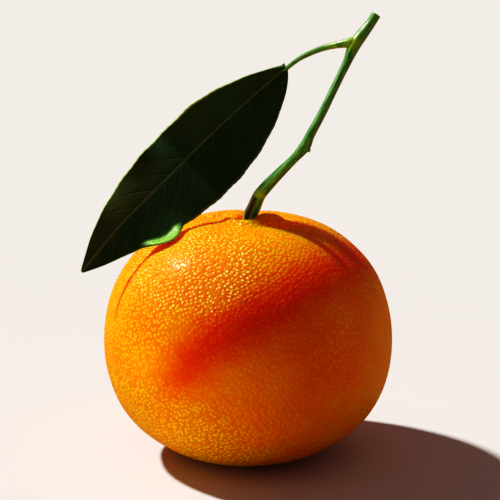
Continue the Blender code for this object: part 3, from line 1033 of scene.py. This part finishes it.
def note_distance(item, path):
    """Keeps, on every vertex, how far along the path it lies in millimetres and how far round."""
    tree = KDTree(len(path))
    for i, point in enumerate(path):
        tree.insert(point.xyz, i)
    tree.balance()
    frames = ring_frames(path)
    step = sum((b.xyz - a.xyz).length for a, b in zip(path, path[1:])) / (len(path) - 1) / MM
    along = item.data.attributes.new("along", "FLOAT", "POINT")
    round_it = item.data.attributes.new("round_it", "FLOAT_VECTOR", "POINT")
    for vertex in item.data.vertices:
        i = tree.find(vertex.co)[1]
        middle, direction, sideways = frames[i]
        offset = vertex.co - middle
        along.data[vertex.index].value = i * step + offset.dot(direction) / MM
        across = Vector((offset.dot(sideways), offset.dot(direction.cross(sideways)), 0.0))
        round_it.data[vertex.index].vector = across / MM


def make_twig():
    work = bmesh.new()
    sweep(work, TWIG_PATH, 28, TWIG_RIDGE)
    sweep(work, smooth_path(STUB_ROUTE, 30), 24, 0.0)
    sweep(work, smooth_path(KNOB, 6), 20, 0.0)
    twig = new_object("green_twig", work)
    remeshed(twig, TWIG_VOXEL, 3)
    note_distance(twig, TWIG_PATH)
    return twig


twig = make_twig()
print("twig", len(twig.data.vertices), "vertices")

# %% [markdown]
# ## The bark's finish
#
# Young citrus bark is smooth and green with fine pale streaks along it. Above the calyx there is a joint
# with a yellow-green ring, and below the ring a brown cork streak runs down one side. Where the leaf
# stalk leaves, the bark is fresh yellow-green. All of these follow the twig, so they read the distance
# along it that the last cell kept on the mesh, and streaks are a noise stretched along that distance.

# %% Make the bark
BARK = colour(0.030, 0.19, 0.035)
BARK_PALE = colour(0.15, 0.42, 0.11)
BARK_FRESH = colour(0.26, 0.50, 0.03)
CORK = colour(0.075, 0.032, 0.012)
CUT_WOOD = colour(0.50, 0.50, 0.26)
PITH = colour(0.045, 0.050, 0.020)

# How far the streaks are drawn out, where the joint's ring and the cork's top lie along the twig, which
# side the cork is on, how deep it is, and the middle of the fork with its shift to the eye
STREAK_STRETCH = 0.12
CORK_TOP_MM = 8.8
CORK_SIDE = (-0.85, 0.53, 0.0)
CORK_DEPTH = 0.10 * MM
FORK = (23.6, -0.3, 98.7, 1.6)


def streaked_bark(tree, along, around, patch_scale, patch_share):
    """Green bark with pale streaks drawn out along it: its colour, its streaks and its grain."""
    patch, grain = add_grain(tree, object_coordinates(tree), patch_scale, 3000.0)
    parts = add_node(tree, "SeparateXYZ", {0: around}).outputs
    drawn_out = times(tree, along, STREAK_STRETCH)
    where = add_node(tree, "CombineXYZ", {0: parts[0], 1: parts[1], 2: drawn_out}).outputs[0]
    streaks = add_node(tree, "TexNoise", {"Vector": where, "Scale": 2.2, "Detail": 4.0}).outputs["Fac"]
    base = mixed(tree, ramp(tree, streaks, 0.42, 0.62), BARK, BARK_PALE)
    return mixed(tree, times(tree, patch, patch_share), base, BARK_PALE), streaks, grain


def make_bark():
    material, tree, shader = new_material(
        "green_bark",
        Subsurface_Weight=0.1,
        Subsurface_Scale=0.0006,
        Specular_IOR_Level=0.5,
        Coat_Weight=0.25,
        Coat_Roughness=0.25,
        Subsurface_Radius=(0.5, 1.0, 0.2),
    )
    here = object_coordinates(tree)
    along = attribute(tree, "along")
    around = attribute(tree, "round_it", "Vector")
    base, streaks, grain = streaked_bark(tree, along, around, 260.0, 0.25)

    fork = vector_maths(tree, "DISTANCE", here, placed([FORK])[0] * MM)
    fresh = ramp(tree, fork, 0.8 * MM, 3.2 * MM, 0.9, 0.0)
    base = mixed(tree, fresh, base, BARK_FRESH)

    ring = maths(tree, "ABSOLUTE", maths(tree, "SUBTRACT", along, CORK_TOP_MM))
    ring = ramp(tree, ring, 0.3, 1.3, 0.85, 0.0)
    base = mixed(tree, ring, base, BARK_FRESH)

    facing = vector_maths(tree, "DOT_PRODUCT", vector_maths(tree, "NORMALIZE", around), CORK_SIDE)
    facing = maths(tree, "ADD", facing, times(tree, streaks, 0.06))
    streak = ramp(tree, facing, 0.965, 0.995)
    below = ramp(tree, along, CORK_TOP_MM - 1.6, CORK_TOP_MM - 0.6, 1.0, 0.0)
    cork = times(tree, streak, below)
    base = mixed(tree, cork, base, CORK)

    end = vector_maths(tree, "SUBTRACT", here, TWIG_PATH[-1].xyz)
    end_way = (TWIG_PATH[-1].xyz - TWIG_PATH[-4].xyz).normalized()
    past = vector_maths(tree, "DOT_PRODUCT", end, end_way)
    cut = ramp(tree, past, -0.16 * MM, -0.06 * MM)
    across = vector_maths(tree, "LENGTH", end)
    wood = mixed(tree, ramp(tree, across, 0.22 * MM, 0.42 * MM), PITH, CUT_WOOD)
    wood = mixed(tree, ramp(tree, across, 0.84 * MM, 0.95 * MM), wood, BARK)
    base = mixed(tree, cut, base, wood)
    tree.links.new(base, shader.inputs["Base Color"])

    rough = ramp(tree, cork, 0.2, 0.8, 0.34, 0.8)
    tree.links.new(rough, shader.inputs["Roughness"])
    ridges = times(tree, streaks, 0.16 * MM)
    fine = times(tree, grain, 0.03 * MM)
    add_bump(tree, shader, 0.8, ridges, fine, times(tree, cork, -CORK_DEPTH))
    return material


finish_piece(twig, "twig", "green_bark", make_bark())

# %% [markdown]
# ## The leaf stalk
#
# The stalk is the thin green link from the fork to the blade. It starts inside the twig's stub and ends
# inside the midrib, so no joint shows. It is swept in the same way as the twig, because a bevelled curve
# would again leave it without its fine ridges, and it carries the same bark.

# %% Make the stalk
STALK_ROUTE = [
    (21.4, -0.05, 98.0, 0.72, 0.4),
    (20.3, -0.1, 97.8, 0.82, 0.0),
    (18.0, -0.2, 97.3, 0.74, -1.5),
    (15.3, -0.3, 96.4, 0.67, -3.6),
    (12.0, -0.4, 94.8, 0.58, -6.8),
    (9.6, -0.6, 93.1, 0.52, -9.4),
    (7.6, -0.95, 91.4, 0.44, -10.9),
    (4.6, -1.5, 88.8, 0.36, -11.5),
]
STALK_PATH = smooth_path(STALK_ROUTE, 90)


def make_stalk():
    work = bmesh.new()
    sweep(work, STALK_PATH, 24, 0.04)
    stalk = new_object("leaf_stalk", work)
    note_distance(stalk, STALK_PATH)
    return stalk


def make_stalk_skin():
    material, tree, shader = new_material(
        "stalk_skin",
        Roughness=0.38,
        Specular_IOR_Level=0.5,
        Coat_Weight=0.25,
        Coat_Roughness=0.25,
    )
    along = attribute(tree, "along")
    around = attribute(tree, "round_it", "Vector")
    base, streaks, grain = streaked_bark(tree, along, around, 300.0, 0.2)
    base = mixed(tree, ramp(tree, along, 0.5, 5.0, 0.85, 0.0), base, BARK_FRESH)
    tree.links.new(base, shader.inputs["Base Color"])
    add_bump(tree, shader, 0.8, times(tree, streaks, 0.10 * MM), times(tree, grain, 0.02 * MM))
    return material


stalk = make_stalk()
finish_piece(stalk, "leaf", "leaf_skin", make_stalk_skin())

# %% [markdown]
# ## The calyx
#
# The calyx is the small star of five blunt sepals that holds the fruit to its twig. Five petals could be
# joined at the middle, but one skin keeps the star whole: a filled circle, inset into rings so that it
# can be domed, then drawn out into the star by a formula, given a thickness and rounded by a subdivision.

# %% Make the calyx
CALYX_RADIUS = 2.08 * MM
CALYX_THICKNESS = 0.55 * MM
SEPALS = 5
SEPAL_REACH = 0.12
CALYX_RINGS = 6
CALYX_DROOP = 0.35 * MM
TIP_RISE = 0.30 * MM
WRINKLE = 0.05 * MM
CALYX_GREEN = colour(0.10, 0.19, 0.035)
CALYX_DRY = colour(0.15, 0.13, 0.04)
TIP_BROWN = colour(0.16, 0.09, 0.03)
TIP_EDGE = (1.6 * MM, 2.3 * MM)


def make_calyx():
    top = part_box("calyx")[1].z
    work = bmesh.new()
    bmesh.ops.create_circle(work, cap_ends=True, segments=12 * SEPALS, radius=CALYX_RADIUS)
    step = CALYX_RADIUS / CALYX_RINGS
    for _ in range(CALYX_RINGS - 1):
        inner = [face for face in work.faces if face.calc_center_median().length < 1e-6]
        bmesh.ops.inset_region(work, faces=inner, thickness=step, use_even_offset=False)
    for vertex in work.verts:
        share = vertex.co.xy.length / CALYX_RADIUS
        bearing = math.atan2(vertex.co.y, vertex.co.x)
        point = 0.5 + 0.5 * math.cos(SEPALS * bearing)
        vertex.co.xy *= 1 + SEPAL_REACH * share * (2 * point**1.5 - 1)
        vertex.co.z = top - CALYX_DROOP * share**2 + TIP_RISE * share**4 * point
        vertex.co.z += WRINKLE * noise.noise(vertex.co * 2500)
    calyx = new_object("calyx_star", work)
    body = calyx.modifiers.new("Body", "SOLIDIFY")
    body.thickness = CALYX_THICKNESS
    body.offset = -1.0
    soften = calyx.modifiers.new("Round", "SUBSURF")
    soften.levels = 2
    soften.render_levels = 2
    return applied(calyx)


def make_calyx_skin():
    material, tree, shader = new_material("calyx_skin", Roughness=0.62, Specular_IOR_Level=0.35)
    here = object_coordinates(tree)
    patch, grain = add_grain(tree, here, 500.0, 3200.0)
    base = mixed(tree, patch, CALYX_GREEN, CALYX_DRY)
    away = vector_maths(tree, "LENGTH", vector_maths(tree, "MULTIPLY", here, (1.0, 1.0, 0.0)))
    base = mixed(tree, ramp(tree, away, *TIP_EDGE), base, TIP_BROWN)
    tree.links.new(base, shader.inputs["Base Color"])
    add_bump(tree, shader, 1.0, times(tree, grain, 0.08 * MM))
    return material


calyx = make_calyx()
finish_piece(calyx, "calyx", "calyx_skin", make_calyx_skin())

# %% [markdown]
# ## Floor and light
#
# The fruit stands on a plain pale floor that runs far enough back to fill the picture. It is pale to the
# camera only: what it throws back on the fruit is darker and warmer, because a truly pale floor would
# light up the deep warm shade below the waist. A Light Path node tells the two kinds of rays apart.
#
# One hard key from the upper left, a little behind, gives the glints, the lit crown and the leaf's shadow
# beside the twig.
# A dim warm sky keeps the shaded side readable, and a weak rim light from the right leaves the floor
# alone. Small cards at the lower left and right light the fruit only, and one before the twig lights the
# twig and stalk only: light linking does that in Cycles. A brighter sky would reach those places too, but
# it would wash out the deep shade.

# %% Build the stage
FLOOR_HALF = 3.0
FLOOR_PALE = colour(0.67, 0.69, 0.74)
FLOOR_DUSTY = colour(0.65, 0.67, 0.72)
FLOOR_BOUNCE = colour(0.40, 0.20, 0.09)
SHADE_CURVE = [(0.04, 0.015), (0.15, 0.115), (0.45, 0.46)]


def make_floor():
    work = bmesh.new()
    bmesh.ops.create_grid(work, x_segments=1, y_segments=1, size=FLOOR_HALF)
    floor = new_object("floor", work)
    material, tree, shader = new_material("pale_floor", Roughness=0.85, Specular_IOR_Level=0.15)
    patch, grain = add_grain(tree, object_coordinates(tree), 8.0, 1500.0)
    base = mixed(tree, times(tree, patch, 0.3), FLOOR_PALE, FLOOR_DUSTY)
    seen = add_node(tree, "LightPath").outputs["Is Camera Ray"]
    tree.links.new(mixed(tree, seen, FLOOR_BOUNCE, base), shader.inputs["Base Color"])
    add_bump(tree, shader, 1.0, times(tree, grain, 0.03 * MM))
    floor.data.materials.append(material)


def light_only(lamp, lit):
    """Lets a lamp shine on those pieces alone, and not on the floor."""
    receivers = bpy.data.collections.new(lamp.name)
    for piece in lit:
        receivers.objects.link(piece)
    lamp.light_linking.receiver_collection = receivers


def add_light(name, kind, towards, energy, tint, distance=0.0, **settings):
    """A light that shines at the fruit from a direction."""
    light = bpy.data.lights.new(name, kind)
    light.energy = energy
    light.color = tint
    for key, value in settings.items():
        setattr(light, key, value)
    lamp = bpy.data.objects.new(name, light)
    way = Vector(towards).normalized()
    lamp.location = Vector((0, 0, WAIST_HEIGHT)) + way * distance
    lamp.rotation_euler = way.to_track_quat("Z", "Y").to_euler()
    scene.collection.objects.link(lamp)
    return lamp


def add_card(name, where, energy, tint, width, lit):
    """A soft card that lights a few pieces only and leaves no white patch of its own on their wax."""
    way = Vector(where) * MM - Vector((0, 0, WAIST_HEIGHT))
    card = add_light(name, "AREA", way, energy, tint, way.length, shape="DISK", size=width)
    card.visible_glossy = False
    light_only(card, lit)


def make_sky(strength, tint):
    world = bpy.data.worlds.new("sky")
    world.use_nodes = True
    background = world.node_tree.nodes["Background"]
    background.inputs["Color"].default_value = tint
    background.inputs["Strength"].default_value = strength
    scene.world = world


def deepen_shade():
    """Standard view, with a curve that holds the darks down as the photograph's exposure does."""
    view = scene.view_settings
    view.view_transform = "Standard"
    view.use_curve_mapping = True
    curve = view.curve_mapping.curves[3]
    for value, result in SHADE_CURVE:
        curve.points.new(value, result)
    view.curve_mapping.update()


make_floor()
add_light("key", "SUN", SUN_WAY, 4.8, (1.0, 0.95, 0.84), angle=math.radians(3.5))
rim = add_light("rim", "AREA", (0.9, 0.25, 0.1), 0.06, (1.0, 0.90, 0.85), 0.5, shape="DISK", size=0.3)
light_only(rim, [fruit, blade, twig, stalk, calyx])
add_card("bounce", (-44, -50, 2), 0.021, (1.0, 0.92, 0.50), 34 * MM, [fruit])
add_card("cool_bounce", (66, -30, 3), 0.003, (0.70, 0.85, 1.0), 40 * MM, [fruit])
add_card("fill", (-110, -120, 95), 0.050, (1.0, 1.0, 0.92), 60 * MM, [twig, stalk])
make_sky(0.185, colour(1.0, 0.66, 0.56))
deepen_shade()
